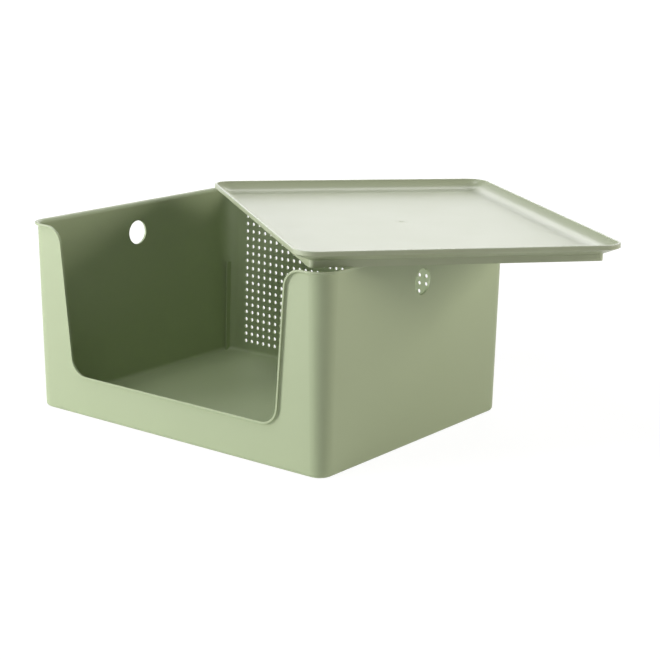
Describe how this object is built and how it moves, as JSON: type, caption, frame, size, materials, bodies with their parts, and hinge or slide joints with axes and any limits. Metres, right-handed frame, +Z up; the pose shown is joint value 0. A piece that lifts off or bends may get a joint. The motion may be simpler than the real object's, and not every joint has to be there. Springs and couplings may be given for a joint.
{
  "type": "vegetable storage bin",
  "caption": "Open-fronted plastic storage bin with a perforated back wall, side hand holes and a loose tray-shaped lid lying turned across its rim",
  "frame": {"origin": "centre of the bin's underside, on the table", "axes": "+Z up, -Y out through the open front, +X to the right as seen from the front"},
  "size_m": [0.6343, 0.5463, 0.2489],
  "materials": {
    "bin_plastic": "moulded pale sage polypropylene with a fine even grain",
    "vent_plastic": "moulded pale sage polypropylene, pierced by rows of small round vents",
    "lid_plastic": "moulded pale sage polypropylene, satin on the tray's flat panel"
  },
  "bodies": {
    "bin": {"tub": "bin_plastic", "vent_panel": "vent_plastic"},
    "lid": {"lid": "lid_plastic"}
  },
  "joints": [
    {"name": "lid_lift", "type": "slide", "parent": "bin", "child": "lid", "axis": [0, 0, 1], "range_m": [0, 0.12]}
  ]
}
